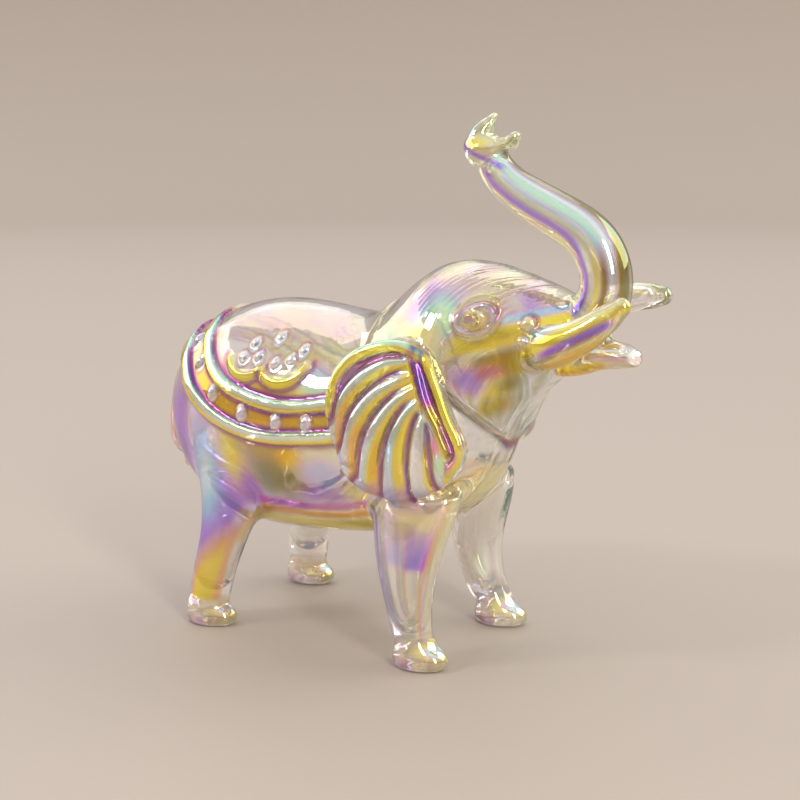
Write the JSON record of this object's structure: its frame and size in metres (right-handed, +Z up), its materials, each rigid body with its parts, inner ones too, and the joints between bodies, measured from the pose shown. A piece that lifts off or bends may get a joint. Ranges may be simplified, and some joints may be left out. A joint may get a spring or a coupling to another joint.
{
  "type": "crystal glass figurine",
  "caption": "Hollow blown glass elephant with a lustre coat, trunk raised, a pressed saddle blanket and ribbed ears, standing on solid glass feet.",
  "frame": {"origin": "middle of the bounding box, on the plane of the soles", "axes": "the elephant faces +X, its left side is +Y, up is +Z"},
  "size_m": [0.0989, 0.0424, 0.0941],
  "materials": {
    "bubble_glass": "clear blown glass with a violet and lemon lustre",
    "ear_glass": "ribbed clear glass with a golden lustre",
    "blanket_glass": "pressed clear glass with a golden lustre",
    "tube_glass": "drawn clear glass with a lilac lustre",
    "tusk_glass": "clear glass with a pale lemon lustre",
    "clear_glass": "solid clear glass"
  },
  "bodies": {
    "root": {"torso_bulb": "bubble_glass", "head_bulb": "bubble_glass", "left_ear": "ear_glass", "right_ear": "ear_glass", "saddle_blanket": "blanket_glass", "left_eye": "clear_glass", "right_eye": "clear_glass", "trunk_tube": "tube_glass", "trunk_tip": "clear_glass", "left_tusk": "tusk_glass", "right_tusk": "tusk_glass", "lower_lip": "tusk_glass", "front_left_leg": "tube_glass", "front_right_leg": "tube_glass", "rear_left_leg": "tube_glass", "rear_right_leg": "tube_glass", "front_left_foot": "clear_glass", "front_right_foot": "clear_glass", "rear_left_foot": "clear_glass", "rear_right_foot": "clear_glass", "tail": "tube_glass"}
  },
  "joints": []
}
